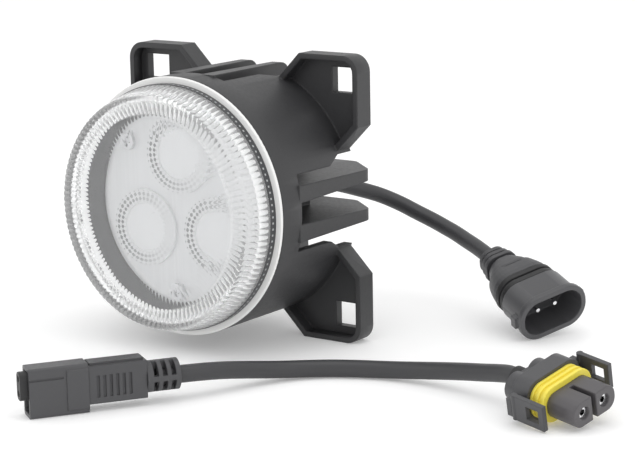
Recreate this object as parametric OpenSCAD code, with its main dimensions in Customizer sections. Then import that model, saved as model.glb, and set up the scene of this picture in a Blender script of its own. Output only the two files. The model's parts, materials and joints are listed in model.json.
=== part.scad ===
// Round LED fog lamp for a 90 mm bezel, with its pigtail plug, and the short
// adapter lead that plugs into it. Millimetres, +Z up. The lamp faces -Y. Its
// origin is on the optical axis, in the plane of the mounting ears' rear faces.

/* [Lamp body] */
// Diameter of the front band that a trim bezel goes round
band_d = 90; // [86:1:100]
// Length from the lens's front face to the ears' rear faces
body_l = 58; // [54:1:72]
// Length of the open slots between the fins, from the ears' rear faces
slot_l = 33.5; // [28:0.5:33.5]
// Wall of the curved shells between the openings
shell_t = 3.2; // [2.4:0.2:4.4]
// Solid floor between the slots and the optics chamber
web_t = 3.5; // [3:0.5:6]

/* [Mounting ears] */
// Outside width across two ears
ear_span = 101; // [97:1:112]
// Distance between the square holes, centre to centre
hole_pitch = 83; // [80:0.5:88]
// Side of each square hole
hole_w = 8.8; // [6:0.1:10]
// How much longer the two holes on the -X side are, towards the axis
hole_slot = 1.4; // [0:0.1:2]
// Thickness of the ear's plate
ear_plate_t = 3.4; // [2:0.2:5]
// Height of the rim round the ear's tray
ear_rim_h = 8; // [5:0.5:10]
// Thickness of the rim round the ear's tray
ear_rim_t = 2; // [1.5:0.25:3]
// Length of an ear's outer edge, from the corner to the chamfer
ear_edge = 24.3; // [20:0.1:26]

/* [Heat sink] */
// Diameter of the core that the fins stand on
core_d = 46; // [44:1:50]
// Thickness of a fin at its front end
fin_root_t = 6; // [4:0.5:7]
// Rounding of the fins' slanted corners
fin_corner_r = 5; // [2:0.5:6]
// Thickness of a fin at its rear tip
fin_tip_t = 3.4; // [2.5:0.1:4]
// Gap between the two fins of a pair, at the front
fin_gap = 7.4; // [5:0.1:9]
// Width of the opening in which a pair of fins stands
slot_w = 26.4; // [25.6:0.2:29]
// How far the fins reach behind the ears
fin_overhang = 19.5; // [14:0.5:26]
// How far the fins' outer edges stand in from the band
fin_recess = 0.2; // [0:0.1:2]
// Length of the slanted corner at each fin's tip, along the lamp
fin_slant_l = 12.5; // [8:0.5:14]
// Depth of the slanted corner at each fin's tip, across the lamp
fin_slant_w = 14; // [8:0.5:16]

/* [Lens] */
// Diameter of the lens's front face
lens_face_d = 81.8; // [78:0.2:84]
// Depth of the lens, from its face to its shoulder
lens_depth = 10; // [8:0.5:12]
// Diameter of the lens's shoulder, behind its flutes
lens_shoulder_d = 85.2; // [84:0.2:88]
// Wall of the lens
lens_t = 2.5; // [2:0.25:3]
// Rounding of the lens's front edge
lens_edge_r = 1.5; // [0.5:0.25:2]
// Height of the white sealing ring
seal_h = 1.2; // [0.8:0.1:2]
// Height of the dark ring between the seal and the lens's shoulder
ring_h = 2.8; // [2:0.1:4]
// Height of the white ring inside the lens, on the funnel's rim
inner_ring_h = 5; // [3:0.25:5.5]

/* [Optics] */
// Radius at which the three optics stand
optic_pcr = 17.9; // [17:0.1:18.5]
// Radius of an optic's rim
optic_r = 13.5; // [12:0.1:13.8]
// Radius of an optic's clear middle
optic_mid_r = 8.5; // [7:0.1:9]
// Radius of the optic holder plate
plate_r = 36; // [35:0.5:38]
// Thickness of the optic holder plate
plate_t = 1.5; // [1:0.25:2]
// Thickness of the LED board
board_t = 1.6; // [1:0.1:2]
// Thickness of the thermal pad under the LED board
pad_t = 0.4; // [0.3:0.1:1]
// Radius at which the plate's screws stand
plate_screw_pcr = 30.3; // [29.5:0.1:31]

/* [Rear chamber] */
// Diameter of the chamber that holds the driver board
chamber_d = 36; // [34:0.5:37]
// Diameter of the small cover that carries the cable gland
cover_d = 24; // [23:0.5:25]
// Thickness of the rear cover
cover_t = 2.5; // [2:0.25:4]
// Thickness of the cover's gasket
gasket_t = 0.8; // [0.5:0.1:1.5]

/* [Pigtail and plug] */
// Diameter of the pigtail cable
cable_d = 5.8; // [5:0.1:6.4]
// Length of the rubber strain relief behind the cover
relief_l = 14; // [10:1:16]
// Width of the plug's oval mouth, outside
mouth_w = 27; // [26.5:0.5:30]
// Height of the plug's oval mouth, outside
mouth_h = 17; // [16.5:0.5:19]
// Wall of the plug's mouth
mouth_wall = 1.9; // [1.4:0.1:2.2]
// Depth of the plug's socket
mouth_depth = 12; // [10:0.5:12]
// Distance between the plug's two pins
pin_pitch = 7; // [6:0.25:9]

/* [Adapter lead] */
// Diameter of the adapter's cable
lead_d = 5.8; // [5:0.1:6.4]
// Clearance between the adapter's nose and the plug's socket
nose_gap = 0.8; // [0.5:0.1:1.2]
// Clearance between the latch arms and the plug's mouth
latch_gap = 0.5; // [0.4:0.1:1.5]
// Height of the vehicle-side hood
hood_h = 16; // [14:0.5:18]
// Width of the vehicle-side hood
hood_w = 9; // [8.5:0.5:12]
// Length of the vehicle-side hood
hood_l = 19; // [16:0.5:22]
// Length of the vehicle-side grip
grip_l = 19; // [16:0.5:22]

/* [Hidden] */
$fn = 96;
eps = 0.01;

// Clearances between pieces that go into each other
slip = 0.1;
fit_gap = 0.3;

// Lamp, along the optical axis. Its own z runs forwards from the ears' rear faces
band_r = band_d / 2;
core_r = core_d / 2;
ear_half = ear_span / 2;
foot_depth = 2;
rim_z = body_l - lens_depth - ring_h - seal_h;
shoulder_z = rim_z + seal_h + ring_h;
floor_z = slot_l + web_t;
shoulder_r = lens_shoulder_d / 2;
face_r = lens_face_d / 2;
foot_r = shoulder_r - 1.4;
foot_wall = 1.3;
optics_chamber_r = foot_r - foot_wall - fit_gap;
rebate_r = foot_r + slip;
funnel_r = optics_chamber_r - slip;
funnel_rim_w = 0.8;

// Stack on the chamber's floor
board_z = floor_z + pad_t;
emitter_z = board_z + board_t;
emitter_h = 1;
plate_z = emitter_z + emitter_h;
plate_top = plate_z + plate_t;
optic_rim_h = 1.5;
optic_foot_r = 5;
optic_hole_r = optic_r - 1.1;
led_board_r = plate_r - 1;
plate_screw_angles = [137, 266, 20];
optic_angles = [90, 210, 330];
m3_r = 1.5;
m3_head_r = 2.8;
m3_head_h = 1.7;
screw_bite = 2.5;

// Rear chamber
rear_z = -2;
rear_wall_t = 5;
chamber_z = rear_z + rear_wall_t;
chamber_r = chamber_d / 2;
spreader_t = 3;
spreader_r = chamber_r + 3;
spreader_z = floor_z - spreader_t;
cover_r = cover_d / 2;
cover_z = rear_z - gasket_t - cover_t;
cover_hole_r = 6.5;
cover_screw_r = 9.4;
cover_screw_angles = [45, 135, 225, 315];
cover_screw_bite = 3.5;
m25_r = 1.25;
m25_head_r = 2.2;
m25_head_h = 1.3;
cover_boss_r = 6.6;
cover_boss_h = 3.7;
gland_neck_r = 4.6;
gland_flange_t = 2;
driver_z = 14;
driver_t = 1.6;
driver_top = driver_z + driver_t;
driver_r = chamber_r - 0.5;
driver_post_x = 13;
driver_post_r = 2.8;
driver_screw_l = 5;
wire_r = 0.8;
wire_pitch = 3;
wire_hole_r = 3;
vent_r = 1.6;
vent_xy = 12.2;
fin_splay = 1.7;

// Ears
slot_half = slot_w / 2;
ear_inner = 16.3;
shell_cut_z = 14;
ear_corner_r = 6;
hole_half = hole_pitch / 2;

// Pigtail: its own points, in the lamp's frame, from the cover to inside the plug
cable_r = cable_d / 2;
PIGTAIL_ROUTE = [
    [0, 3, 0], [0, 12, 0], [0, 25.5, 0], [0.3, 29.5, -0.9], [1, 33, -2.2], [2.5, 38, -4],
    [5.5, 44.5, -6], [10, 51, -8.5], [16, 56, -11], [23, 59, -14], [30, 60.3, -17],
    [37, 60.6, -19.5], [43, 60, -21.5], [48, 59, -23], [53.5, 57.5, -24.8],
    [59, 55.5, -26.3], [65, 52.8, -28], [71.7, 49.5, -30.1]
];

// Plug: origin at the middle of its mouth, +X out of the mouth
plug_at = [103.5, 34, -40.9];
plug_turn = [16, 17, -26];
plug_l = 41;
cable_bite = 8;
mouth_shell_l = 14;
plug_seal_l = 5.5;
seat_x = -mouth_shell_l - plug_seal_l;
core_w = mouth_w - 6;
core_h = mouth_h - 6;
pin_r = 0.75;
pin_reach = 7.5;
lug_w = 4.5;
lug_out = 1.6;

// Adapter's lamp-side connector: origin at the middle of its nose, +X out of it
nose_at = [165.9, -52, -43.5];
nose_turn = [15.5, 6.5, -13];
nose_w = mouth_w - 2 * mouth_wall - 2 * nose_gap;
nose_h = mouth_h - 2 * mouth_wall - 2 * nose_gap;
nose_l = 11;
nose_seal_l = 5.5;
nose_seal_x = -nose_l - nose_seal_l;
core_nose_w = nose_w - 5;
core_nose_h = nose_h - 4;
socket_front_x = -23;
socket_rear_x = -28.5;
socket_body_w = nose_w + 2;
socket_body_h = nose_h + 2.4;
barrel_r = 4.6;
barrel_y = 4.8;
terminal_r = 1.9;
lead_r = lead_d / 2;
collar_l = 4;
collar_t = 0.8;
collar_drop = 0.9;
collar_floor_t = 1;
latch_y = mouth_w / 2 + latch_gap;
latch_t = 1.6;
latch_front_x = -6.5;
latch_rear_x = -17.5;
latch_h = 8.5;
latch_rise = 1;
latch_bar = 2;
latch_root = 4;
pivot_r = 1.1;
pivot_x = latch_rear_x - 1.2;
pivot_y = latch_y + latch_t / 2;

// Adapter's vehicle-side connector: origin at the middle of its hood's front, +X out
hood_at = [10.8, -134, -42.5];
hood_turn = [0, 0, -123.5];
hood_wall = 1.2;
hood_depth = 15;
hood_band_l = 7;
insert_w = 5;
insert_h = 9.2;
insert_z = 2.1;
insert_out = 2.5;
contact_z = 2.4;
grip_top = hood_h / 2 - 0.3;
grip_h = hood_h - 3;
grip_w = hood_w - 0.6;
tail_l = 11;
tail_r = 5.1;
tail_rise = 0.5;
LEAD_ROUTE = [
    [34.5, -98.2, -42.5], [38.8, -91.7, -42.5], [42.6, -85, -42.8], [45.4, -78, -43.6],
    [48.6, -69.5, -45], [52.6, -60.5, -46.5], [58.2, -52.5, -47.3], [64.8, -46.8, -47.5],
    [72, -42.8, -47.5], [79.5, -39.8, -47.4], [87.5, -38, -46.9], [96, -37.2, -46],
    [104.5, -37.6, -44.8], [112.5, -39, -43.5], [120.5, -40.8, -42.2],
    [126.5, -42.4, -41.1], [131.9, -43.9, -40.4], [137.1, -45.1, -41]
];

// ---------- helpers ----------

// Places a lamp piece: its z axis becomes the lamp's forward direction, -Y
module lamp() {
    rotate([90, 0, 0]) children();
}

module tube(r_out, r_in, z0, z1) {
    translate([0, 0, z0]) difference() {
        cylinder(r = r_out, h = z1 - z0);
        translate([0, 0, -1]) cylinder(r = r_in, h = z1 - z0 + 2);
    }
}

module at_angles(angles, radius) {
    for (a = angles) rotate(a) translate([radius, 0, 0]) rotate(-a) children();
}

// Rectangle with round corners, or an oval when r is half its height
module round_rect(w, h, r) {
    square([w - 2 * r, h], center = true);
    square([w, h - 2 * r], center = true);
    for (sx = [-1, 1], sy = [-1, 1])
        translate([sx * (w / 2 - r), sy * (h / 2 - r)]) circle(r);
}

// Oval block along +X, w across Y and h across Z
module oval_x(x0, x1, w, h, r) {
    translate([x0, 0, 0]) rotate([90, 0, 90]) linear_extrude(x1 - x0) round_rect(w, h, r);
}

module cylinder_x(x0, x1, r) {
    translate([x0, 0, 0]) rotate([0, 90, 0]) cylinder(r = r, h = x1 - x0);
}

module flip_x(side) {
    mirror([side < 0 ? 1 : 0, 0, 0]) children();
}

module flip_y(side) {
    mirror([0, side < 0 ? 1 : 0, 0]) children();
}

// Polygon, listed anticlockwise, with a rounding for each of its points. The arc is
// a circle that touches both edges, and only outward corners take one
module soft_polygon(points, roundings) {
    n = len(points);
    corners = [for (i = [0:n - 1])
        corner_arc(points[(i + n - 1) % n], points[i], points[(i + 1) % n], roundings[i])];
    polygon([for (c = corners) each [c[0], c[1]]]);
    for (i = [0:n - 1]) if (roundings[i] > 0) translate(corners[i][2]) circle(roundings[i]);
}

// Where a rounding starts and ends, and its centre
function corner_arc(before, corner, after, r) =
    let (
        u = unit(before - corner),
        v = unit(after - corner),
        half = acos(u * v) / 2,
        d = r / tan(half)
    )
    r > 0 ? [corner + d * u, corner + d * v, corner + r / sin(half) * unit(u + v)]
          : [corner, corner, corner];

// Block between two corners
module block(lo, hi) {
    translate(lo) cube(hi - lo);
}

// Screw whose head stands on z = 0 and whose shank points to -z
module screw(r, head_r, head_h, shank_l) {
    difference() {
        union() {
            translate([0, 0, -shank_l]) cylinder(r = r, h = shank_l + eps);
            cylinder(r = head_r, h = head_h);
        }
        for (a = [0, 90]) rotate(a)
            translate([-head_r * 0.6, -0.35, head_h - 0.8]) cube([head_r * 1.2, 0.7, 1]);
    }
}

// Cable along a list of points: a ring of points at each, joined by quads
cable_sides = 12;

function unit(v) = v / norm(v);

function route_dir(p, i) =
    unit(p[min(i + 1, len(p) - 1)] - p[max(i - 1, 0)]);

function ring(p, i, r) =
    let (
        along = route_dir(p, i),
        side = unit(cross(along, [0, 0, 1])),
        up = cross(side, along)
    )
    [for (k = [0:cable_sides - 1])
        p[i] + r * (cos(360 * k / cable_sides) * side + sin(360 * k / cable_sides) * up)];

module cable(route, r) {
    n = len(route);
    s = cable_sides;
    points = [for (i = [0:n - 1]) each ring(route, i, r)];
    sides = [for (i = [0:n - 2], k = [0:s - 1])
        [i * s + k, i * s + (k + 1) % s, (i + 1) * s + (k + 1) % s, (i + 1) * s + k]];
    first = [for (k = [0:s - 1]) s - 1 - k];
    last = [for (k = [0:s - 1]) (n - 1) * s + k];
    polyhedron(points, concat([first], sides, [last]));
}

// ---------- lamp: front ----------

module lens() {
    wall_r = shoulder_r - lens_t;
    color([0.92, 0.95, 0.97, 0.45]) lamp() rotate_extrude() difference() {
        union() {
            polygon([
                [0, rim_z - foot_depth + 0.05], [foot_r, rim_z - foot_depth + 0.05],
                [foot_r, shoulder_z], [shoulder_r, shoulder_z],
                [face_r, body_l - lens_edge_r], [face_r - lens_edge_r, body_l],
                [0, body_l]
            ]);
            translate([face_r - lens_edge_r, body_l - lens_edge_r]) intersection() {
                circle(lens_edge_r);
                square(lens_edge_r);
            }
        }
        polygon([
            [-1, rim_z - foot_depth - 1], [foot_r - foot_wall, rim_z - foot_depth - 1],
            [foot_r - foot_wall, shoulder_z], [face_r - lens_t, body_l - lens_t],
            [-1, body_l - lens_t]
        ]);
    }
}

module lens_ring() {
    color("dimgray") lamp() tube(shoulder_r + 0.2, foot_r + slip, rim_z + seal_h, shoulder_z);
}

module lens_seal() {
    seal_edge_r = 0.4;
    color("white") lamp() rotate_extrude() {
        square_r0 = foot_r + slip;
        translate([square_r0, rim_z]) square([band_r - square_r0 - seal_edge_r, seal_h]);
        translate([square_r0, rim_z + seal_edge_r])
            square([band_r - square_r0, seal_h - 2 * seal_edge_r]);
        for (z = [rim_z + seal_edge_r, rim_z + seal_h - seal_edge_r])
            translate([band_r - seal_edge_r, z]) circle(seal_edge_r);
    }
}

// White ring that stands on the funnel's rim, inside the lens's foot
module inner_ring() {
    r = funnel_r - fit_gap;
    color("white") lamp() tube(r, r - 0.5, rim_z + seal_h, rim_z + seal_h + inner_ring_h);
}

// Funnel wall between the lens and the optic holder
module inner_bezel() {
    throat_r = plate_r - 1.6;
    lip = 1.2;
    color("gray") lamp() rotate_extrude() polygon([
        [throat_r, plate_top], [funnel_r, plate_top],
        [funnel_r, rim_z + seal_h], [funnel_r - funnel_rim_w, rim_z + seal_h],
        [throat_r, plate_top + lip]
    ]);
}

// ---------- lamp: housing ----------

// One ear's outline in the +X +Y quadrant, shrunk by inset
module ear_outline(inset) {
    outer = ear_half - inset;
    inner = ear_inner + inset;
    slant = ear_half - ear_edge - ear_inner + inset * (sqrt(2) - 2);
    corner_r = ear_corner_r - inset;
    difference() {
        polygon([
            [inner, inner], [inner, outer - slant], [inner + slant, outer],
            [outer, outer], [outer, inner + slant], [outer - slant, inner]
        ]);
        translate([outer - corner_r, outer - corner_r]) square(corner_r + 1);
    }
    translate([outer - corner_r, outer - corner_r]) circle(corner_r);
}

module ear() {
    difference() {
        linear_extrude(ear_rim_h) ear_outline(0);
        translate([0, 0, ear_plate_t]) linear_extrude(ear_rim_h) ear_outline(ear_rim_t);
    }
}

// Outline of a fin, across the lamp and along it, with a slanted rear corner
module fin_outline() {
    edge = band_r - fin_recess;
    inner = cover_r + 0.8;
    tip = -fin_overhang;
    slant_end = [edge - fin_slant_w, tip];
    slant_start = [edge, tip + fin_slant_l];
    soft_polygon(
        [[inner, tip], slant_end, slant_start, [edge, slot_l + 1], [core_r - 4, slot_l + 1],
         [core_r - 4, rear_z + 1], [inner, rear_z + 1]],
        [1.5, fin_corner_r, fin_corner_r, 0, 0, 0, 0]
    );
}

// Two fins that stand on the +X side
module fin_pair() {
    front_in = fin_gap / 2;
    front_out = front_in + fin_root_t;
    rear_in = front_in + fin_splay;
    rear_out = rear_in + fin_tip_t;
    z_tip = -fin_overhang;
    intersection() {
        for (side = [0, 1]) mirror([0, side, 0])
            rotate([90, 0, 90]) linear_extrude(band_r + 1) polygon([
                [front_in, slot_l + 1], [front_out, slot_l + 1],
                [rear_out, z_tip - 1], [rear_in, z_tip - 1]
            ]);
        translate([0, slot_half, 0]) rotate([90, 0, 0]) linear_extrude(slot_w) fin_outline();
    }
}

// Side view of a shell: its rear corner is cut back from the slot to the ear
module shell_side() {
    polygon([
        [slot_half, slot_l + 2], [slot_half, shell_cut_z], [ear_inner, ear_rim_h],
        [ear_inner, -1], [band_d, -1], [band_d, slot_l + 2]
    ]);
}

module housing_solid() {
    translate([0, 0, slot_l]) cylinder(r = band_r, h = rim_z - slot_l);
    translate([0, 0, rear_z]) cylinder(r = core_r, h = slot_l - rear_z + 1);
    for (a = [0:90:270]) rotate(a) {
        intersection() {
            tube(band_r, band_r - shell_t, 0, slot_l + 1);
            translate([0, band_d, 0]) rotate([90, 0, 0]) linear_extrude(band_d) shell_side();
            rotate([90, 0, 90]) linear_extrude(band_d) shell_side();
        }
        ear_outside_shell();
        fin_pair();
    }
}

// The ear stops at the shell's inner face, so the space behind the shell is open
module ear_outside_shell() {
    difference() {
        ear();
        translate([0, 0, -1]) cylinder(r = band_r - shell_t, h = ear_rim_h + 2);
    }
}

module housing() {
    color([0.13, 0.13, 0.14]) lamp() difference() {
        housing_solid();
        // Optics chamber, and the rebate for the lens's foot
        translate([0, 0, floor_z]) cylinder(r = optics_chamber_r, h = body_l);
        translate([0, 0, rim_z - foot_depth]) cylinder(r = rebate_r, h = body_l);
        // Seat for the heat spreader, over the driver chamber
        translate([0, 0, spreader_z]) cylinder(r = spreader_r, h = spreader_t + 1);
        difference() {
            translate([0, 0, chamber_z]) cylinder(r = chamber_r, h = slot_l);
            for (x = [-driver_post_x, driver_post_x])
                translate([x, 0, rear_z]) cylinder(r = driver_post_r, h = driver_z - rear_z);
        }
        // Way in for the cable, behind the small cover
        translate([0, 0, rear_z - 1]) cylinder(r = cover_hole_r, h = rear_wall_t + 2);
        translate([vent_xy, vent_xy, rear_z - 1]) cylinder(r = vent_r, h = rear_wall_t + 2);
        // Blind holes for the holder's, the driver's and the cover's screws
        at_angles(plate_screw_angles, plate_screw_pcr)
            translate([0, 0, floor_z - screw_bite - fit_gap]) cylinder(r = m3_r, h = body_l);
        for (x = [-driver_post_x, driver_post_x])
            translate([x, 0, driver_top - driver_screw_l - fit_gap]) cylinder(r = m25_r, h = body_l);
        at_angles(cover_screw_angles, cover_screw_r)
            translate([0, 0, rear_z - 1]) cylinder(r = m25_r, h = cover_screw_bite + fit_gap + 1);
        // One square hole in each ear; those on the -X side are longer
        for (sx = [-1, 1], sy = [-1, 1]) flip_x(sx) flip_y(sy) {
            longer = sx < 0 ? hole_slot : 0;
            translate([hole_half - hole_w / 2 - longer, hole_half - hole_w / 2, -1])
                cube([hole_w + longer, hole_w, ear_plate_t + 2]);
        }
    }
}

// ---------- lamp: optics ----------

module holder_screw_holes(r) {
    at_angles(plate_screw_angles, plate_screw_pcr) cylinder(r = r, h = body_l);
}

module optic_holder() {
    color([0.78, 0.79, 0.8]) lamp() difference() {
        translate([0, 0, plate_z]) cylinder(r = plate_r, h = plate_t);
        at_angles(optic_angles, optic_pcr) cylinder(r = optic_hole_r, h = body_l);
        holder_screw_holes(m3_r + slip);
    }
}

// Cone of clear plastic with a rim that rests on the holder
module optic(angle) {
    pocket_r = 3;
    color([0.9, 0.93, 0.95, 0.6]) lamp() at_angles([angle], optic_pcr) rotate_extrude() polygon([
        [0, emitter_z + emitter_h + 0.4], [pocket_r, emitter_z + emitter_h + 0.4],
        [pocket_r, emitter_z], [optic_foot_r, emitter_z],
        [optic_hole_r - 0.2, plate_top], [optic_r, plate_top],
        [optic_r, plate_top + optic_rim_h], [optic_mid_r + 0.6, plate_top + optic_rim_h],
        [optic_mid_r, plate_top + 1], [0, plate_top + 1]
    ]);
}

module optic_top() { optic(optic_angles[0]); }
module optic_left() { optic(optic_angles[1]); }
module optic_right() { optic(optic_angles[2]); }

module holder_screws() {
    shank_l = plate_top - floor_z + screw_bite;
    color("silver") lamp() at_angles(plate_screw_angles, plate_screw_pcr)
        translate([0, 0, plate_top]) screw(m3_r, m3_head_r, m3_head_h, shank_l);
}

module board_disc(z, t) {
    difference() {
        translate([0, 0, z]) cylinder(r = led_board_r, h = t);
        holder_screw_holes(m3_r + slip);
        cylinder(r = wire_hole_r, h = body_l);
    }
}

module led_board() {
    color("ivory") lamp() board_disc(board_z, board_t);
}

module thermal_pad() {
    color("slategray") lamp() board_disc(floor_z, pad_t);
}

module led_emitters() {
    chip = 3.4;
    color("gold") lamp() at_angles(optic_angles, optic_pcr)
        translate([-chip / 2, -chip / 2, emitter_z]) {
            cube([chip, chip, 0.5]);
            translate([chip / 2, chip / 2, 0.5 - eps]) cylinder(r = 1.3, h = emitter_h - 0.5);
        }
}

module wire_pair(z0, z1) {
    for (x = [-wire_pitch / 2, wire_pitch / 2])
        translate([x, 0, z0]) cylinder(r = wire_r, h = z1 - z0, $fn = 24);
}

module led_wires() {
    color("firebrick") lamp() wire_pair(driver_top, emitter_z + 0.5);
}

// Aluminium disc that carries the LEDs' heat into the casting
module heat_spreader() {
    color("silver") lamp() difference() {
        translate([0, 0, spreader_z]) cylinder(r = spreader_r - slip, h = spreader_t);
        cylinder(r = wire_hole_r, h = body_l);
    }
}

// ---------- lamp: rear ----------

module driver_board() {
    color("darkgreen") lamp() difference() {
        translate([0, 0, driver_z]) cylinder(r = driver_r, h = driver_t);
        for (x = [-driver_post_x, driver_post_x])
            translate([x, 0, 0]) cylinder(r = m25_r + slip, h = body_l);
    }
}

module driver_parts() {
    color("dimgray") lamp() translate([0, 0, driver_top]) {
        translate([0, 9, 0]) cylinder(r = 4.5, h = 7);
        translate([-6, -9.5, 0]) cylinder(r = 3.2, h = 10);
        block([3.5, -12, 0], [10, -7, 2.4]);
        block([-11, 4.5, 0], [-6.5, 9, 2]);
    }
}

module driver_screws() {
    color("silver") lamp() for (x = [-driver_post_x, driver_post_x])
        translate([x, 0, driver_top]) screw(m25_r, m25_head_r, m25_head_h, driver_screw_l);
}

module supply_wires() {
    color("firebrick") lamp() wire_pair(-PIGTAIL_ROUTE[0].y, driver_z);
}

module cover_screw_holes(r) {
    at_angles(cover_screw_angles, cover_screw_r)
        translate([0, 0, cover_z - 1]) cylinder(r = r, h = 10);
}

module rear_cover() {
    boss_z = cover_z - cover_boss_h;
    color([0.13, 0.13, 0.14]) lamp() difference() {
        union() {
            translate([0, 0, cover_z]) cylinder(r = cover_r, h = cover_t);
            translate([0, 0, boss_z]) cylinder(r = cover_boss_r, h = cover_boss_h + 1);
        }
        cover_screw_holes(m25_r + slip);
        translate([0, 0, boss_z - 1]) cylinder(r = gland_neck_r, h = 20);
    }
}

module cover_gasket() {
    color("darkslategray") lamp() difference() {
        tube(cover_r, cover_hole_r, rear_z - gasket_t, rear_z);
        cover_screw_holes(m25_r + slip);
    }
}

module cover_screws() {
    color("silver") lamp() at_angles(cover_screw_angles, cover_screw_r)
        translate([0, 0, cover_z]) mirror([0, 0, 1])
            screw(m25_r, m25_head_r, m25_head_h, cover_t + gasket_t + cover_screw_bite);
}

// Snap-in plug with a small hole that lets the housing breathe
module breather_vent() {
    cap_r = vent_r + 0.8;
    cap_t = 1.2;
    color("lightgray") lamp() translate([vent_xy, vent_xy, 0]) difference() {
        union() {
            translate([0, 0, rear_z - cap_t]) cylinder(r = cap_r, h = cap_t);
            translate([0, 0, rear_z - eps]) cylinder(r = vent_r - 0.05, h = rear_wall_t);
        }
        translate([0, 0, rear_z - 5]) cylinder(r = 0.6, h = 20, $fn = 24);
    }
}

// Rubber grommet: neck in the cover, flange, then a grooved tapered tail
module cable_gland() {
    flange_z = cover_z - cover_boss_h - gland_flange_t;
    tail_z = flange_z - relief_l;
    groove_step = relief_l / 5;
    color([0.1, 0.1, 0.1]) lamp() difference() {
        union() {
            translate([0, 0, flange_z]) cylinder(r = cover_boss_r - 1, h = gland_flange_t);
            translate([0, 0, flange_z + gland_flange_t - eps])
                cylinder(r = gland_neck_r - 0.05, h = cover_boss_h + cover_t);
            translate([0, 0, tail_z]) cylinder(r1 = cable_r + 0.9, r2 = cable_r + 2.6, h = relief_l + eps);
        }
        translate([0, 0, tail_z - 1]) cylinder(r = cable_r + 0.05, h = 60);
        for (k = [1:4]) tube(20, cable_r + 0.8 + 0.3 * k, tail_z + k * groove_step - 0.6,
            tail_z + k * groove_step + 0.6);
    }
}

module pigtail_cable() {
    color([0.16, 0.16, 0.17]) cable(PIGTAIL_ROUTE, cable_r);
}

// ---------- plug on the pigtail ----------

module plug_frame() {
    translate(plug_at) rotate(plug_turn) children();
}

// Moulded boot: ribbed tail round the cable, then two swells up to the seal
module plug_boot() {
    x0 = -plug_l;
    tail_w = 10.5;
    tail_h = 9.5;
    color([0.2, 0.2, 0.21]) plug_frame() difference() {
        union() {
            for (k = [0:2]) oval_x(x0 + 2.6 * k, x0 + 2.6 * k + 1.7, tail_w + k, tail_h + k * 0.8, 4);
            oval_x(x0, x0 + 9, tail_w - 1, tail_h - 1, 3.6);
            hull() {
                oval_x(x0 + 8, x0 + 9, 12, 11, 5, $fn = 32);
                oval_x(x0 + 12, x0 + 13, 16.5, 12.8, 6, $fn = 32);
                oval_x(x0 + 14, x0 + 15, 18, 13.6, 6.4, $fn = 32);
            }
            hull() {
                oval_x(x0 + 14, x0 + 15, 19.5, 13, 6, $fn = 32);
                oval_x(x0 + 17, x0 + 18, 21.5, 14, 6.6, $fn = 32);
                oval_x(seat_x - 2, seat_x, 22.5, 14.6, 6.8, $fn = 32);
            }
            oval_x(seat_x - eps, -mouth_shell_l, core_w, core_h, core_h / 2 - 1);
        }
        cylinder_x(x0 - 1, x0 + cable_bite + 0.5, cable_r + slip);
    }
}

// Two dark rubber bands with a groove between them
module plug_seal() {
    band = (plug_seal_l - 0.9) / 2;
    band_w = mouth_w - 3.2;
    band_h = mouth_h - 2.2;
    color([0.07, 0.07, 0.07]) plug_frame() difference() {
        union() {
            oval_x(seat_x, seat_x + band, band_w, band_h, band_h / 2 - 0.5);
            oval_x(seat_x, -mouth_shell_l, band_w - 1.7, band_h - 1.7, band_h / 2 - 1.4);
            oval_x(-mouth_shell_l - band, -mouth_shell_l, band_w, band_h, band_h / 2 - 0.5);
        }
        oval_x(seat_x - 1, 0, core_w, core_h, core_h / 2 - 1);
    }
}

module mouth_oval(x0, x1, inset) {
    oval_x(x0, x1, mouth_w - 2 * inset, mouth_h - 2 * inset, mouth_h / 2 - inset - 0.5);
}

// Hard shell with the oval socket, a key notch on top and a lug at each side
module plug_shell() {
    notch_w = 5;
    rim_l = 2.4;
    color([0.23, 0.23, 0.24]) plug_frame() difference() {
        union() {
            mouth_oval(-mouth_shell_l, 0, 1.1);
            mouth_oval(-rim_l, 0, 0);
            for (side = [-1, 1]) flip_y(side)
                block([-rim_l - 3, mouth_w / 2 - 1.4, -lug_w / 2],
                      [-rim_l, mouth_w / 2 + lug_out / 2, lug_w / 2]);
        }
        mouth_oval(-mouth_depth, 1, mouth_wall);
        block([-11, -notch_w / 2 - 1, mouth_h / 2 - 1.1], [-6.5, notch_w / 2 - 1, mouth_h]);
        for (y = [-pin_pitch / 2, pin_pitch / 2])
            translate([0, y, 0]) cylinder_x(-mouth_shell_l - 1, 0, pin_r);
    }
}

module plug_pins() {
    color("silver") plug_frame() for (y = [-pin_pitch / 2, pin_pitch / 2])
        translate([0, y, 0]) cylinder_x(-mouth_shell_l, -mouth_depth + pin_reach, pin_r);
}

// ---------- adapter lead: vehicle side ----------

module lead_cable() {
    color([0.16, 0.16, 0.17]) cable(LEAD_ROUTE, lead_r);
}

module hood_frame() {
    translate(hood_at) rotate(hood_turn) children();
}

module hood_shell() {
    half_w = hood_w / 2;
    half_h = hood_h / 2;
    color([0.24, 0.24, 0.25]) hood_frame() difference() {
        union() {
            oval_x(-hood_l, 0, hood_w - 0.8, hood_h, 1);
            oval_x(-hood_l, -hood_l + hood_band_l, hood_w, hood_h - 2.6, 0.8);
        }
        oval_x(-hood_depth, 1, hood_w - 0.8 - 2 * hood_wall, hood_h - 2 * hood_wall, 0.6);
        block([-hood_l + hood_band_l + 1, -half_w, half_h - 4], [1, -half_w + 0.7, half_h - 3.4]);
        block([-hood_l + hood_band_l + 1, half_w - 0.7, half_h - 4], [1, half_w, half_h - 3.4]);
    }
}

// Tongue that carries the two contacts, and stands a little out of the hood
module hood_insert() {
    color([0.1, 0.1, 0.1]) hood_frame() difference() {
        translate([0, 0, insert_z]) oval_x(-hood_depth, insert_out, insert_w, insert_h, insert_w / 2 - 0.4);
        for (side = [-1, 1]) translate([0, 0, insert_z + side * contact_z])
            cylinder_x(-hood_depth - 1, insert_out + 1, 1);
    }
}

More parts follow.
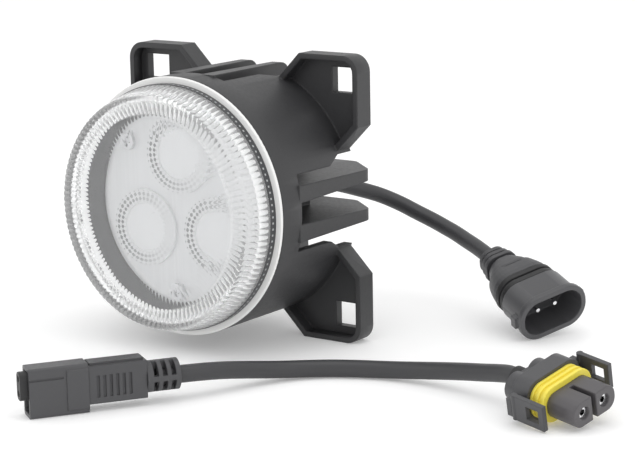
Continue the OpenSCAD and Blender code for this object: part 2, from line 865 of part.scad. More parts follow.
module hood_contacts() {
    color("goldenrod") hood_frame() for (side = [-1, 1])
        translate([0, 0, insert_z + side * contact_z]) difference() {
            cylinder_x(-hood_depth, insert_out - 0.8, 0.95);
            cylinder_x(-8, insert_out, 0.5, $fn = 24);
        }
}

// Finger grip with six upright grooves a side and a raised pad on top
module hood_grip() {
    x0 = -hood_l - grip_l;
    groove_step = 2.1;
    color([0.2, 0.2, 0.21]) hood_frame() difference() {
        union() {
            block([x0, -grip_w / 2, grip_top - grip_h], [-hood_l, grip_w / 2, grip_top - 0.7]);
            block([x0 + 0.8, -grip_w / 2 + 1.4, grip_top - 1], [-hood_l - 0.6, grip_w / 2 - 1.4, grip_top]);
        }
        for (k = [0:5], side = [-1, 1]) translate([x0 + 5 + k * groove_step, side * grip_w / 2, 0])
            block([0, -0.5, grip_top - grip_h + 2], [0.9, 0.5, grip_top - 4]);
        cylinder_x(x0 - 1, x0 + 6, lead_r + slip);
    }
}

// Slotted strain relief: two rows of three slots
module hood_relief() {
    x0 = -hood_l - grip_l - tail_l;
    color([0.18, 0.18, 0.19]) hood_frame() difference() {
        translate([0, 0, tail_rise]) cylinder_x(x0, x0 + tail_l, tail_r);
        cylinder_x(x0 - 1, x0 + tail_l + 1, lead_r + slip);
        for (k = [0:2], side = [-1, 1]) flip_y(side) translate([x0 + 1.6 + 2.9 * k, 1, 0]) {
            translate([0, 0, tail_rise + 0.9]) cube([1.5, tail_r, tail_r]);
            translate([0, 0, tail_rise - 0.9 - tail_r]) cube([1.5, tail_r, tail_r]);
        }
    }
}

// ---------- adapter lead: lamp side ----------

module nose_frame() {
    translate(nose_at) rotate(nose_turn) children();
}

// Block behind the seal, with two wire barrels and a pivot seat for each latch arm
module socket_body() {
    seat_r = pivot_r + fit_gap;
    block_rear_x = pivot_x - 3.4;
    block_front_x = pivot_x + 0.8;
    color([0.22, 0.22, 0.23]) nose_frame() difference() {
        union() {
            oval_x(socket_front_x, nose_seal_x, socket_body_w, socket_body_h, 5);
            for (side = [-1, 1]) {
                translate([0, side * barrel_y, 0])
                    cylinder_x(socket_rear_x, socket_front_x + 1, barrel_r);
                block([block_rear_x, side > 0 ? barrel_y : -pivot_y - 0.3, -3],
                      [block_front_x, side > 0 ? pivot_y + 0.3 : -barrel_y, 3]);
            }
            block([socket_rear_x, -barrel_y, -3.4], [socket_front_x + 1, barrel_y, 3.4]);
            oval_x(nose_seal_x - eps, -nose_l, core_nose_w, core_nose_h, core_nose_h / 2 - 1);
        }
        for (side = [-1, 1]) {
            translate([pivot_x, side * pivot_y, -10]) cylinder(r = seat_r, h = 20);
            block([pivot_x, side > 0 ? pivot_y - seat_r : -pivot_y - 3, -10],
                  [block_front_x + 1, side > 0 ? pivot_y + 3 : -pivot_y + seat_r, 10]);
        }
    }
}

module socket_collar() {
    color([0.15, 0.15, 0.16]) nose_frame() translate([0, 0, -collar_drop]) difference() {
        cylinder_x(socket_rear_x - collar_l, socket_rear_x, lead_r + collar_t);
        cylinder_x(socket_rear_x - collar_l - 1, socket_rear_x - collar_floor_t, lead_r + slip);
    }
}

// Yellow silicone seal with three ribs
module socket_seal() {
    rib = 1.1;
    pitch = (nose_seal_l - rib) / 2;
    color([0.96, 0.86, 0.2]) nose_frame() difference() {
        union() {
            oval_x(nose_seal_x, -nose_l, nose_w - 1.2, nose_h - 1.2, nose_h / 2 - 1.4);
            for (k = [0:2]) oval_x(nose_seal_x + k * pitch, nose_seal_x + k * pitch + rib,
                nose_w + 0.4, nose_h + 0.4, nose_h / 2 - 0.6);
        }
        oval_x(nose_seal_x - 1, 0, core_nose_w, core_nose_h, core_nose_h / 2 - 1);
    }
}

// Two round-ended lobes with a slot between them, one cavity in each
module socket_nose() {
    slot = 1.8;
    color([0.2, 0.19, 0.2]) nose_frame() difference() {
        oval_x(-nose_l, 0, nose_w - 3, nose_h - 3.2, nose_h / 2 - 2);
        block([-nose_l + 2, -slot / 2, -nose_h], [1, slot / 2, nose_h]);
        for (y = [-pin_pitch / 2 - 1, pin_pitch / 2 + 1])
            translate([0, y, 0]) cylinder_x(-nose_l - 1, 1, terminal_r + slip);
    }
}

module socket_terminals() {
    color("silver") nose_frame() for (y = [-pin_pitch / 2 - 1, pin_pitch / 2 + 1])
        translate([0, y, 0]) difference() {
            cylinder_x(-nose_l, -1, terminal_r);
            cylinder_x(-nose_l + 3, 0, 1, $fn = 24);
        }
}

// Spring arm: two rails, a front bar that hooks behind the lug, a round root
module latch(side) {
    y_in = side > 0 ? latch_y : -latch_y - latch_t;
    z_lo = latch_rise - latch_h / 2;
    window_lo = latch_rear_x + latch_root;
    color([0.26, 0.26, 0.27]) nose_frame() {
        difference() {
            block([latch_rear_x - 1, y_in, z_lo], [latch_front_x, y_in + latch_t, z_lo + latch_h]);
            block([window_lo, y_in - 1, z_lo + latch_bar],
                  [latch_front_x - latch_bar, y_in + latch_t + 1, z_lo + latch_h - latch_bar]);
        }
        translate([pivot_x, side * pivot_y, z_lo]) cylinder(r = pivot_r, h = latch_h);
    }
}

module latch_left() { latch(1); }
module latch_right() { latch(-1); }

lens();
lens_ring();
lens_seal();
inner_ring();
inner_bezel();
housing();
optic_holder();
optic_top();
optic_left();
optic_right();
holder_screws();
led_board();
led_emitters();
thermal_pad();
heat_spreader();
led_wires();
driver_board();
driver_parts();
driver_screws();
supply_wires();
rear_cover();
cover_gasket();
cover_screws();
breather_vent();
cable_gland();
pigtail_cable();
plug_boot();
plug_seal();
plug_shell();
plug_pins();
lead_cable();
hood_shell();
hood_insert();
hood_contacts();
hood_grip();
hood_relief();
socket_body();
socket_collar();
socket_seal();
socket_nose();
socket_terminals();
latch_left();
latch_right();
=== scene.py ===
import bpy
import json
import math
from mathutils import Matrix, Vector


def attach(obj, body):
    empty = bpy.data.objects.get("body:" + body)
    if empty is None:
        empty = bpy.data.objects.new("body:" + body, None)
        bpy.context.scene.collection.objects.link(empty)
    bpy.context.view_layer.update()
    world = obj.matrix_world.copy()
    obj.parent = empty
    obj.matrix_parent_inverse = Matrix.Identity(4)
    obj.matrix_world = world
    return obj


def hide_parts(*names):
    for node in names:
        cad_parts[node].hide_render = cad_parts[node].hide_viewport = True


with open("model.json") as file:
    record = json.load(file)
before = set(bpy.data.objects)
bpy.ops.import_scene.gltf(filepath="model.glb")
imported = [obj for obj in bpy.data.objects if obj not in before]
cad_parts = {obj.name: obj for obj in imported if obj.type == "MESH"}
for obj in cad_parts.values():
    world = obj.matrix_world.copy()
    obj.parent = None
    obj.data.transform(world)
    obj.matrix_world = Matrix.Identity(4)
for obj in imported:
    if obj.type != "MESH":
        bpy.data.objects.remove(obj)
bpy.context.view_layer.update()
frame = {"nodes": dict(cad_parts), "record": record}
nodes = frame["nodes"]
MM = 0.001

# ---------------------------------------------------------------- sizes, in millimetres
# Radii are round the optical axis, and heights run along it from the ears' plane to the face.
BODY_L = 58.0
SHOULDER_Z = 48.0
SHOULDER_R = 42.6
RIM_Z = 44.0
FACE_R = 40.9
FOOT_R = 41.2
FOOT_Z = RIM_Z - 1.95
FOOT_WALL = 1.3
LENS_T = 2.5
LENS_BACK_Z = BODY_L - LENS_T
EDGE_R = 1.5
WINDOW_R = 33.0
WINDOW_BLEND = 0.8
AXIS_R = 0.02
PLATE_TOP = 41.5
EMITTER_Z = 39.0
OPTIC_PCR = 17.9
OPTIC_R = 13.5
OPTIC_MID_R = 8.5
CABLE_R = 2.9

# Flutes of the lens: how many, how finely each is cut, how round its back is, and how deep it
# is at the window's edge, over the face, round the edge and down the skirt
FLUTES = 124
FLUTE_STEPS = 8
FLUTE_ROUND = 0.9
FLUTE_DEPTH_WINDOW = 0.3
FLUTE_DEPTH_FACE = 0.55
FLUTE_DEPTH_EDGE = 0.25
FLUTE_DEPTH_SKIRT = 0.62
FACE_DROP = 0.05

# Knurled rim of an optic
KNURL_R = 9.2
KNURL_MARGIN = 0.4
KNURL_RINGS = 6
KNURL_STEPS = 76
KNURL_TOP = PLATE_TOP + 1.48
KNURL_DEPTH = 0.45

# Dashes on the dark ring behind the lens: how many, and half of each one's size
DASHES = 130
DASH_HALF = (0.34, 0.32, 0.12)
DASH_OUT = 0.12
DASH_DROP = 1.1

FLOOR_Z = -50.55
FLOOR_HALF = 4000.0

PIGTAIL_ROUTE = [
    (0, 3, 0), (0, 12, 0), (0, 25.5, 0), (0.3, 29.5, -0.9), (1, 33, -2.2), (2.5, 38, -4),
    (5.5, 44.5, -6), (10, 51, -8.5), (16, 56, -11), (23, 59, -14), (30, 60.3, -17),
    (37, 60.6, -19.5), (43, 60, -21.5), (48, 59, -23), (53.5, 57.5, -24.8),
    (59, 55.5, -26.3), (65, 52.8, -28), (71.7, 49.5, -30.1),
]
LEAD_ROUTE = [
    (34.5, -98.2, -42.5), (38.8, -91.7, -42.5), (42.6, -85, -42.8), (45.4, -78, -43.6),
    (48.6, -69.5, -45), (52.6, -60.5, -46.5), (58.2, -52.5, -47.3), (64.8, -46.8, -47.5),
    (72, -42.8, -47.5), (79.5, -39.8, -47.4), (87.5, -38, -46.9), (96, -37.2, -46),
    (104.5, -37.6, -44.8), (112.5, -39, -43.5), (120.5, -40.8, -42.2),
    (126.5, -42.4, -41.1), (131.9, -43.9, -40.4), (137.1, -45.1, -41),
]


# ---------------------------------------------------------------- materials
def node_material(name, color, rough, metal=0.0, rough_var=0.0, color_var=0.0, scale=900.0,
                  bump=0.0, bump_scale=2500.0, spec=0.5, coat=0.0,
                  transmission=0.0, ior=1.5, stretch=None, edge=0.0):
    """Principled material with noise in its colour and roughness, a fine bump and soft edges."""
    mat = bpy.data.materials.new(name)
    mat.use_nodes = True
    tree = mat.node_tree
    bsdf = tree.nodes["Principled BSDF"]
    bsdf.inputs["Metallic"].default_value = metal
    bsdf.inputs["IOR"].default_value = ior
    bsdf.inputs["Specular IOR Level"].default_value = spec
    bsdf.inputs["Coat Weight"].default_value = coat
    bsdf.inputs["Coat Roughness"].default_value = 0.1
    bsdf.inputs["Transmission Weight"].default_value = transmission
    coords = tree.nodes.new("ShaderNodeTexCoord")
    mapping = tree.nodes.new("ShaderNodeMapping")
    tree.links.new(coords.outputs["Object"], mapping.inputs["Vector"])
    if stretch:
        mapping.inputs["Scale"].default_value = stretch
    noise = tree.nodes.new("ShaderNodeTexNoise")
    noise.inputs["Scale"].default_value = scale
    noise.inputs["Detail"].default_value = 4.0
    tree.links.new(mapping.outputs["Vector"], noise.inputs["Vector"])
    ramp = tree.nodes.new("ShaderNodeMapRange")
    ramp.inputs["From Min"].default_value = 0.25
    ramp.inputs["From Max"].default_value = 0.75
    ramp.inputs["To Min"].default_value = max(0.02, rough - rough_var)
    ramp.inputs["To Max"].default_value = min(1.0, rough + rough_var)
    tree.links.new(noise.outputs["Fac"], ramp.inputs["Value"])
    tree.links.new(ramp.outputs["Result"], bsdf.inputs["Roughness"])
    mix = tree.nodes.new("ShaderNodeMix")
    mix.data_type = "RGBA"
    dark = [c * (1.0 - color_var) for c in color] + [1.0]
    light = [min(1.0, c * (1.0 + color_var)) for c in color] + [1.0]
    mix.inputs["A"].default_value = dark
    mix.inputs["B"].default_value = light
    tree.links.new(noise.outputs["Fac"], mix.inputs["Factor"])
    tree.links.new(mix.outputs["Result"], bsdf.inputs["Base Color"])
    normal = None
    if edge > 0:
        bevel = tree.nodes.new("ShaderNodeBevel")
        bevel.samples = 4
        bevel.inputs["Radius"].default_value = edge * MM
        normal = bevel.outputs["Normal"]
    if bump > 0:
        fine = tree.nodes.new("ShaderNodeTexNoise")
        fine.inputs["Scale"].default_value = bump_scale
        fine.inputs["Detail"].default_value = 3.0
        tree.links.new(mapping.outputs["Vector"], fine.inputs["Vector"])
        bump_node = tree.nodes.new("ShaderNodeBump")
        bump_node.inputs["Strength"].default_value = bump
        bump_node.inputs["Distance"].default_value = 0.05 * MM
        tree.links.new(fine.outputs["Fac"], bump_node.inputs["Height"])
        if normal is not None:
            tree.links.new(normal, bump_node.inputs["Normal"])
        normal = bump_node.outputs["Normal"]
    if normal is not None:
        tree.links.new(normal, bsdf.inputs["Normal"])
    return mat


def brighten(mat, strength):
    """A little white light of its own: painted light for what clear plastic passes on and the renderer
    loses, and an even glow on the floor.
    """
    bsdf = mat.node_tree.nodes["Principled BSDF"]
    bsdf.inputs["Emission Color"].default_value = (1.0, 1.0, 1.0, 1.0)
    bsdf.inputs["Emission Strength"].default_value = strength


def milky_outside(mat, radius, inner, outer):
    """Transmission falls from inner to outer beyond a radius round the optical axis."""
    tree = mat.node_tree
    coords = next(n for n in tree.nodes if n.bl_idname == "ShaderNodeTexCoord")
    flat = tree.nodes.new("ShaderNodeVectorMath")
    flat.operation = "MULTIPLY"
    flat.inputs[1].default_value = (1.0, 0.0, 1.0)
    tree.links.new(coords.outputs["Object"], flat.inputs[0])
    length = tree.nodes.new("ShaderNodeVectorMath")
    length.operation = "LENGTH"
    tree.links.new(flat.outputs["Vector"], length.inputs[0])
    ramp = tree.nodes.new("ShaderNodeMapRange")
    ramp.inputs["From Min"].default_value = radius * MM
    ramp.inputs["From Max"].default_value = (radius + WINDOW_BLEND) * MM
    ramp.inputs["To Min"].default_value = inner
    ramp.inputs["To Max"].default_value = outer
    tree.links.new(length.outputs["Value"], ramp.inputs["Value"])
    tree.links.new(ramp.outputs["Result"], tree.nodes["Principled BSDF"].inputs["Transmission Weight"])


def paint_knurl_shade(mat, r_in, r_out):
    """Painted shade: darker diamonds in a ring round the piece's own axis stand in for the shading of its
    knurl facets, strongest on its -X side.
    """
    waves_round, wave_mm = 19.0, 3.4
    threshold, strength = 0.08, 0.75
    # Colour of the painted facet shade
    dark = (0.06, 0.06, 0.065, 1.0)
    tree = mat.node_tree
    bsdf = tree.nodes["Principled BSDF"]

    def math_node(kind, *values):
        node = tree.nodes.new("ShaderNodeMath")
        node.operation = kind
        for socket, value in zip(node.inputs, values):
            if isinstance(value, (int, float)):
                socket.default_value = value
            else:
                tree.links.new(value, socket)
        return node.outputs["Value"]

    coords = next(n for n in tree.nodes if n.bl_idname == "ShaderNodeTexCoord")
    split = tree.nodes.new("ShaderNodeSeparateXYZ")
    tree.links.new(coords.outputs["Object"], split.inputs["Vector"])
    x, z = split.outputs["X"], split.outputs["Z"]
    r = math_node("SQRT", math_node("ADD", math_node("MULTIPLY", x, x), math_node("MULTIPLY", z, z)))
    angle = math_node("ARCTAN2", z, x)
    turn = math_node("MULTIPLY", angle, waves_round)
    out = math_node("MULTIPLY", r, 2 * math.pi / (wave_mm * MM))
    wave = math_node("MULTIPLY", math_node("SINE", math_node("ADD", turn, out)),
                     math_node("SINE", math_node("SUBTRACT", turn, out)))
    # Painted shade of the knurl's facets, in a diamond pattern
    facet_shade = math_node("GREATER_THAN", wave, threshold)
    band = math_node("MULTIPLY", math_node("GREATER_THAN", r, r_in * MM),
                     math_node("LESS_THAN", r, r_out * MM))
    # Painted side shade: the diamonds darken most on the -X side and fade out towards the +X side
    shade_side_weight = math_node("SUBTRACT", 0.5, math_node("MULTIPLY", math_node("COSINE", angle), 0.5))
    shade_amount = math_node("MULTIPLY", math_node("MULTIPLY", facet_shade, band),
                       math_node("MULTIPLY", shade_side_weight, strength))
    mix = tree.nodes.new("ShaderNodeMix")
    mix.data_type = "RGBA"
    tree.links.new(shade_amount, mix.inputs["Factor"])
    tree.links.new(bsdf.inputs["Base Color"].links[0].from_socket, mix.inputs["A"])
    mix.inputs["B"].default_value = dark
    tree.links.new(mix.outputs["Result"], bsdf.inputs["Base Color"])


MATS = {
    "clear_lens": node_material("lens_clear", (0.985, 0.99, 0.995), 0.02, transmission=1.0, ior=1.5,
                                rough_var=0.005, spec=0.5),
    "clear_optic": node_material("optic_clear", (0.86, 0.865, 0.87), 0.12, transmission=0.05, ior=1.45,
                                 rough_var=0.02),
    "ring_black": node_material("ring_dark", (0.045, 0.046, 0.05), 0.35, rough_var=0.05, edge=0.15),
    "seal_white": node_material("seal_silicone", (0.86, 0.86, 0.85), 0.45, rough_var=0.05, color_var=0.01),
    "ring_white": node_material("ring_white", (0.95, 0.95, 0.94), 0.45, rough_var=0.05, color_var=0.01),
    "bezel_grey": node_material("bezel_satin", (0.066, 0.067, 0.070), 0.38, rough_var=0.05, color_var=0.04),
    "cast_black": node_material("cast_satin_black", (0.030, 0.030, 0.032), 0.46, rough_var=0.06,
                                color_var=0.10, bump=0.35, bump_scale=2600.0, edge=0.9, spec=0.55),
    "plate_silver": node_material("plate_brushed", (0.80, 0.805, 0.81), 0.42, metal=0.15, rough_var=0.04,
                                  color_var=0.09, scale=160.0, stretch=(8.0, 8.0, 0.05), edge=0.2),
    "screw_steel": node_material("screw_zinc", (0.72, 0.72, 0.73), 0.34, metal=0.8, rough_var=0.06,
                                 edge=0.15),
    "board_white": node_material("board_mask_white", (0.86, 0.86, 0.84), 0.40, rough_var=0.05,
                                 color_var=0.02),
    "emitter": node_material("emitter_phosphor", (0.92, 0.78, 0.25), 0.35, coat=0.6),
    "pad_grey": node_material("pad_matte", (0.35, 0.37, 0.40), 0.80, rough_var=0.05, color_var=0.05),
    "spreader": node_material("spreader_turned", (0.70, 0.71, 0.73), 0.32, metal=1.0, rough_var=0.08,
                              edge=0.2),
    "wire_red": node_material("wire_red", (0.52, 0.05, 0.04), 0.45, rough_var=0.05),
    "board_green": node_material("board_mask_green", (0.02, 0.16, 0.06), 0.35, rough_var=0.05,
                                 color_var=0.08),
    "parts_dark": node_material("component_dark", (0.07, 0.07, 0.075), 0.45, rough_var=0.06, edge=0.2),
    "cover_black": node_material("cover_textured", (0.032, 0.032, 0.034), 0.55, rough_var=0.06, bump=0.5,
                                 edge=0.5),
    "gasket_grey": node_material("gasket_matte", (0.09, 0.10, 0.11), 0.75, rough_var=0.05, color_var=0.06),
    "vent_grey": node_material("vent_grey", (0.50, 0.51, 0.52), 0.50, rough_var=0.05, edge=0.2),
    "gland_black": node_material("gland_rubber", (0.022, 0.022, 0.023), 0.60, rough_var=0.08, bump=0.3,
                                 edge=0.3),
    "cable_black": node_material("cable_jacket", (0.040, 0.040, 0.043), 0.42, rough_var=0.06, color_var=0.08,
                                 scale=500.0, bump=0.25, bump_scale=1800.0),
    "boot_grey": node_material("boot_overmould", (0.060, 0.060, 0.064), 0.45, rough_var=0.06, color_var=0.06,
                               bump=0.3, edge=0.5),
    "band_black": node_material("band_rubber", (0.013, 0.013, 0.014), 0.50, rough_var=0.06, edge=0.3),
    "shell_grey": node_material("shell_plastic", (0.070, 0.070, 0.074), 0.36, rough_var=0.05, color_var=0.05,
                                bump=0.2, edge=0.35),
    "pin_tin": node_material("pin_tin", (0.82, 0.82, 0.83), 0.18, metal=1.0, rough_var=0.04, edge=0.15),
    "hood_grey": node_material("hood_plastic", (0.062, 0.062, 0.066), 0.42, rough_var=0.06, color_var=0.06,
                               bump=0.3, edge=0.4),
    "insert_black": node_material("insert_black", (0.020, 0.020, 0.021), 0.50, rough_var=0.05, edge=0.3),
    "contact_gold": node_material("contact_plate", (0.78, 0.60, 0.28), 0.22, metal=1.0, rough_var=0.05),
    "seal_yellow": node_material("seal_yellow", (0.90, 0.76, 0.09), 0.38, rough_var=0.05, color_var=0.03,
                                 edge=0.3),
    "nose_grey": node_material("nose_plastic", (0.085, 0.080, 0.085), 0.40, rough_var=0.05, color_var=0.05,
                               edge=0.35),
}


def paint(obj, mat):
    obj.data.materials.clear()
    obj.data.materials.append(mat)


SLOT_OF = {s["node"]: s["material_slot"] for s in frame["record"]["subparts"]}
for name, obj in nodes.items():
    paint(obj, MATS[SLOT_OF[name]])

paint(nodes["inner_ring"], MATS["ring_white"])

milky_outside(MATS["clear_lens"], WINDOW_R, 1.0, 0.82)
# Painted shade: dark diamonds on the optics' knurled rims
paint_knurl_shade(MATS["clear_optic"], KNURL_R - 0.2, OPTIC_R - 0.3)
# Painted light: the plate, the optics, the white inner ring and the lens glow faintly, though none of them
# is a lamp
PAINTED_GLOW = {"plate_silver": 0.02, "clear_optic": 0.035, "ring_white": 0.38, "clear_lens": 0.035}
for slot, strength in PAINTED_GLOW.items():
    brighten(MATS[slot], strength)

# Edges that catch the light: a small rounding, in millimetres, on each hard-edged piece
ROUNDING = {
    "housing": 0.7, "rear_cover": 0.5, "plug_boot": 0.35, "plug_shell": 0.3, "plug_seal": 0.35,
    "hood_shell": 0.4, "hood_grip": 0.35, "hood_relief": 0.3, "hood_insert": 0.3,
    "socket_body": 0.4, "socket_nose": 0.35, "latch_left": 0.3, "latch_right": 0.3,
    "socket_seal": 0.25, "cable_gland": 0.25,
}
for name, width in ROUNDING.items():
    weld = nodes[name].modifiers.new("weld", "WELD")
    weld.merge_threshold = 0.002 * MM
    bevel = nodes[name].modifiers.new("rounding", "BEVEL")
    bevel.width = width * MM
    bevel.segments = 3
    bevel.limit_method = "ANGLE"
    bevel.angle_limit = math.radians(40)
    bevel.harden_normals = False


# ---------------------------------------------------------------- mesh helpers
def add_mesh(name, verts_mm, faces, body, mat, smooth_angle=35):
    """New piece that rides on a body, its points in millimetres."""
    mesh = bpy.data.meshes.new(name)
    mesh.from_pydata([tuple(c * MM for c in v) for v in verts_mm], [], faces)
    mesh.update()
    obj = bpy.data.objects.new(name, mesh)
    bpy.context.scene.collection.objects.link(obj)
    obj.data.materials.append(mat)
    for poly in mesh.polygons:
        poly.use_smooth = True
    mesh.set_sharp_from_angle(angle=math.radians(smooth_angle))
    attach(obj, body)
    return obj


def lamp_point(r, angle, z):
    """A point of the lamp from its radius, its angle and its height along the optical axis."""
    return (r * math.cos(angle), -z, r * math.sin(angle))


def lathe(name, profile, steps, mat, shape, smooth_angle, centre=(0.0, 0.0)):
    """Turned piece of the lamp from a closed outline of (r, z) points.

    shape(i, r, z, k) gives point i of the outline its place at step k of the turn.
    """
    verts, faces = [], []
    n = len(profile)
    for k in range(steps):
        a = 2 * math.pi * k / steps
        for i, (r, z) in enumerate(profile):
            r_here, z_here = shape(i, r, z, k)
            verts.append(lamp_point(r_here, a, z_here))
    for k in range(steps):
        k2 = (k + 1) % steps
        for i in range(n):
            i2 = (i + 1) % n
            faces.append((k * n + i2, k2 * n + i2, k2 * n + i, k * n + i))
    piece = add_mesh(name, verts, faces, "lamp", mat, smooth_angle)
    piece.location = (centre[0] * MM, 0.0, centre[1] * MM)
    return piece


# ---------------------------------------------------------------- lens with flutes
def ridge(k):
    """Height of a round-backed flute at a step round the lens, 0 in the groove and 1 on the crest."""
    t = 2.0 * (k % FLUTE_STEPS) / FLUTE_STEPS - 1.0
    low = math.sqrt(1.0 - FLUTE_ROUND ** 2)
    return (math.sqrt(1.0 - (FLUTE_ROUND * t) ** 2) - low) / (1.0 - low)


face_flat = [(r, BODY_L) for r in (AXIS_R, 12.0, 24.0, WINDOW_R)]
face_flutes = [(r, BODY_L - FACE_DROP) for r in (WINDOW_R + 0.7, 34.8, 36.0, 37.5, 38.8)]
edge_arc = [(FACE_R - EDGE_R + EDGE_R * math.sin(t), BODY_L - EDGE_R + EDGE_R * math.cos(t))
            for t in (0.25, 0.6, 1.0, 1.35)]
skirt = [(FACE_R + 0.05, BODY_L - 2.2), (FACE_R + 0.5, BODY_L - 4.2), (FACE_R + 1.0, BODY_L - 6.6),
         (SHOULDER_R - 0.05, SHOULDER_Z + 0.6)]
foot = [(SHOULDER_R, SHOULDER_Z), (FOOT_R, SHOULDER_Z), (FOOT_R, FOOT_Z),
        (FOOT_R - FOOT_WALL, FOOT_Z), (FOOT_R - FOOT_WALL, SHOULDER_Z)]
inside = [(FACE_R - LENS_T + 0.6, LENS_BACK_Z - 1.5), (FACE_R - LENS_T - 0.8, LENS_BACK_Z),
          (31.0, LENS_BACK_Z), (12.0, LENS_BACK_Z), (AXIS_R, LENS_BACK_Z)]
lens_profile = face_flat + face_flutes + edge_arc + skirt + foot + inside
first_flute = len(face_flat)
first_edge = first_flute + len(face_flutes)
first_skirt = first_edge + len(edge_arc)
first_foot = first_skirt + len(skirt)


def lens_shape(i, r, z, k):
    """Grooves cut down into the face, slantwise round the edge and inwards on the skirt."""
    groove = 1.0 - ridge(k)
    if i == first_flute:
        return r, z - FLUTE_DEPTH_WINDOW * groove
    if first_flute < i < first_edge:
        return r, z - FLUTE_DEPTH_FACE * groove
    if first_edge <= i < first_skirt:
        return r - FLUTE_DEPTH_EDGE * groove, z - FLUTE_DEPTH_EDGE * groove
    if first_skirt <= i < first_foot:
        return r - FLUTE_DEPTH_SKIRT * groove, z
    return r, z


lens = lathe("lens_fluted", lens_profile, FLUTES * FLUTE_STEPS, MATS["clear_lens"],
             lens_shape, smooth_angle=50)
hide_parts("lens")


# ---------------------------------------------------------------- optics with knurled rims
def optic(name, angle, node):
    """Clear disc with a ring of small pyramids round it, and a foot down to its emitter."""
    cx, cz = OPTIC_PCR * math.cos(angle), OPTIC_PCR * math.sin(angle)
    ring_step = (OPTIC_R - KNURL_MARGIN - KNURL_R) / (KNURL_RINGS - 1)
    face = [(AXIS_R, PLATE_TOP + 1.0), (3.0, PLATE_TOP + 0.96), (6.0, PLATE_TOP + 0.88),
            (OPTIC_MID_R - 0.1, PLATE_TOP + 0.78), (OPTIC_MID_R + 0.1, PLATE_TOP + 1.3)]
    knurled = [(KNURL_R + ring_step * j, KNURL_TOP) for j in range(KNURL_RINGS)]
    back = [(OPTIC_R, PLATE_TOP + 1.2), (OPTIC_R, PLATE_TOP + 0.02), (12.2, PLATE_TOP + 0.02),
            (5.0, EMITTER_Z + 0.02), (3.0, EMITTER_Z + 0.02), (3.0, EMITTER_Z + 1.4),
            (AXIS_R, EMITTER_Z + 1.4)]

    def knurl(i, r, z, k):
        j = i - len(face)
        if 0 <= j < KNURL_RINGS:
            return r, z - KNURL_DEPTH * ((j + k) % 2)
        return r, z

    piece = lathe(name, face + knurled + back, KNURL_STEPS, MATS["clear_optic"],
                  knurl, smooth_angle=12, centre=(cx, cz))
    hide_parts(node)


optic("optic_top_knurled", math.radians(90), "optic_top")
optic("optic_left_knurled", math.radians(210), "optic_left")
optic("optic_right_knurled", math.radians(330), "optic_right")


# ---------------------------------------------------------------- dashed ring behind the lens
def box_verts(centre, along, across, up, half):
    """The eight corners of a box from its centre, its three directions and its half sizes."""
    out = []
    for sx in (-1, 1):
        for sy in (-1, 1):
            for sz in (-1, 1):
                out.append(tuple(centre[j] + sx * half[0] * along[j] + sy * half[1] * across[j]
                                 + sz * half[2] * up[j] for j in range(3)))
    return out


BOX_FACES = [(0, 1, 3, 2), (4, 6, 7, 5), (0, 4, 5, 1), (2, 3, 7, 6), (0, 2, 6, 4), (1, 5, 7, 3)]
verts, faces = [], []
for k in range(DASHES):
    a = 2 * math.pi * (k + 0.5) / DASHES
    centre = lamp_point(SHOULDER_R + DASH_OUT, a, SHOULDER_Z - DASH_DROP)
    radial = (math.cos(a), 0.0, math.sin(a))
    tangent = (-math.sin(a), 0.0, math.cos(a))
    base = len(verts)
    verts += box_verts(centre, tangent, (0.0, -1.0, 0.0), radial, DASH_HALF)
    faces += [tuple(base + v for v in f) for f in BOX_FACES]
add_mesh("ring_dashes", verts, faces, "lamp", MATS["vent_grey"])


# ---------------------------------------------------------------- cables
def smooth_route(route, start, end, step=6):
    """Points along a smooth curve through route, between two of its points."""
    pts = [Vector(p) for p in route]
    out = []
    for i in range(start, end):
        p0, p1, p2, p3 = pts[max(i - 1, 0)], pts[i], pts[i + 1], pts[min(i + 2, len(pts) - 1)]
        for s in range(step):
            t = s / step
            out.append(0.5 * ((2 * p1) + (p2 - p0) * t + (2 * p0 - 5 * p1 + 4 * p2 - p3) * t * t
                              + (3 * p1 - p0 - 3 * p2 + p3) * t ** 3))
    out.append(pts[end])
    return out


def cable(name, points_mm, body, node):
    """Cable as a round tube along its points, in place of its CAD node."""
    curve = bpy.data.curves.new(name, "CURVE")
    curve.dimensions = "3D"
    spline = curve.splines.new("POLY")
    spline.points.add(len(points_mm) - 1)
    for point, p in zip(spline.points, points_mm):
        point.co = (p[0] * MM, p[1] * MM, p[2] * MM, 1.0)
    curve.bevel_depth = CABLE_R * MM
    curve.bevel_resolution = 8
    curve.use_fill_caps = True
    obj = bpy.data.objects.new(name, curve)
    bpy.context.scene.collection.objects.link(obj)
    curve.materials.append(MATS["cable_black"])
    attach(obj, body)
    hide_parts(node)


PIGTAIL_EXIT = 2    # the point of the route where the cable leaves the gland
cable("pigtail_tube", smooth_route(PIGTAIL_ROUTE, PIGTAIL_EXIT, len(PIGTAIL_ROUTE) - 1),
      "lamp", "pigtail_cable")
cable("lead_tube", smooth_route(LEAD_ROUTE, 0, len(LEAD_ROUTE) - 1), "adapter", "lead_cable")

# ---------------------------------------------------------------- floor, light, camera
floor_mesh = bpy.data.meshes.new("floor")
floor_mesh.from_pydata([(x * FLOOR_HALF * MM, y * FLOOR_HALF * MM, FLOOR_Z * MM)
                        for x, y in ((-1, -1), (1, -1), (1, 1), (-1, 1))], [], [(0, 1, 2, 3)])
floor = bpy.data.objects.new("floor", floor_mesh)
bpy.context.scene.collection.objects.link(floor)
floor_mat = node_material("floor_pale", (0.84, 0.84, 0.84), 0.75, rough_var=0.03, color_var=0.005,
                          scale=6.0)
brighten(floor_mat, 0.2)
paint(floor, floor_mat)

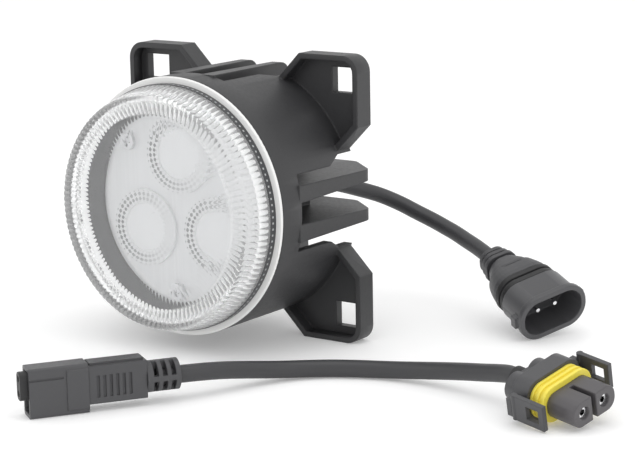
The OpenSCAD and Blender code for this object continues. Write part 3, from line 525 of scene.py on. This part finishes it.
world = bpy.data.worlds.new("studio")
bpy.context.scene.world = world
world.use_nodes = True
sky = world.node_tree.nodes["Background"]
sky.inputs["Color"].default_value = (1.0, 1.0, 1.0, 1.0)
sky.inputs["Strength"].default_value = 0.97


def area_light(name, place, size, power):
    """Rectangular light, in metres and watts, that faces the lamp's origin."""
    data = bpy.data.lights.new(name, "AREA")
    data.shape = "RECTANGLE"
    data.size, data.size_y = size
    data.energy = power
    obj = bpy.data.objects.new(name, data)
    bpy.context.scene.collection.objects.link(obj)
    obj.location = place
    obj.rotation_mode = "QUATERNION"
    obj.rotation_quaternion = Vector(place).to_track_quat("Z", "Y")


area_light("top", (0.1, -0.1, 0.9), (0.9, 0.7), 1.6)
area_light("front_left", (-0.5, -0.7, 0.5), (0.5, 0.6), 0.5)
area_light("right", (0.9, -0.1, 0.35), (0.4, 0.6), 0.5)

# The camera stands where the photograph's was: its place in metres, its turn and its focal length
CAMERA_AT = (0.4567, -0.59635, 0.13964)
CAMERA_LENS = 119.35
azimuth, elevation, roll = math.radians(35.715), math.radians(11.799), math.radians(-1.0595)
back = Vector((math.sin(azimuth) * math.cos(elevation), -math.cos(azimuth) * math.cos(elevation),
               math.sin(elevation)))
right = Vector((math.cos(azimuth), math.sin(azimuth), 0.0))
up = back.cross(right)
rolled_right = math.cos(roll) * right + math.sin(roll) * up
rolled_up = -math.sin(roll) * right + math.cos(roll) * up
camera_data = bpy.data.cameras.new("camera")
camera_data.sensor_width = 36.0
camera_data.lens = CAMERA_LENS
camera_data.clip_start = 0.01
camera_data.clip_end = 100.0
camera = bpy.data.objects.new("camera", camera_data)
bpy.context.scene.collection.objects.link(camera)
camera.matrix_world = Matrix((
    (rolled_right.x, rolled_up.x, back.x, CAMERA_AT[0]),
    (rolled_right.y, rolled_up.y, back.y, CAMERA_AT[1]),
    (rolled_right.z, rolled_up.z, back.z, CAMERA_AT[2]),
    (0.0, 0.0, 0.0, 1.0),
))
bpy.context.scene.camera = camera
bpy.context.scene.view_settings.view_transform = "Standard"
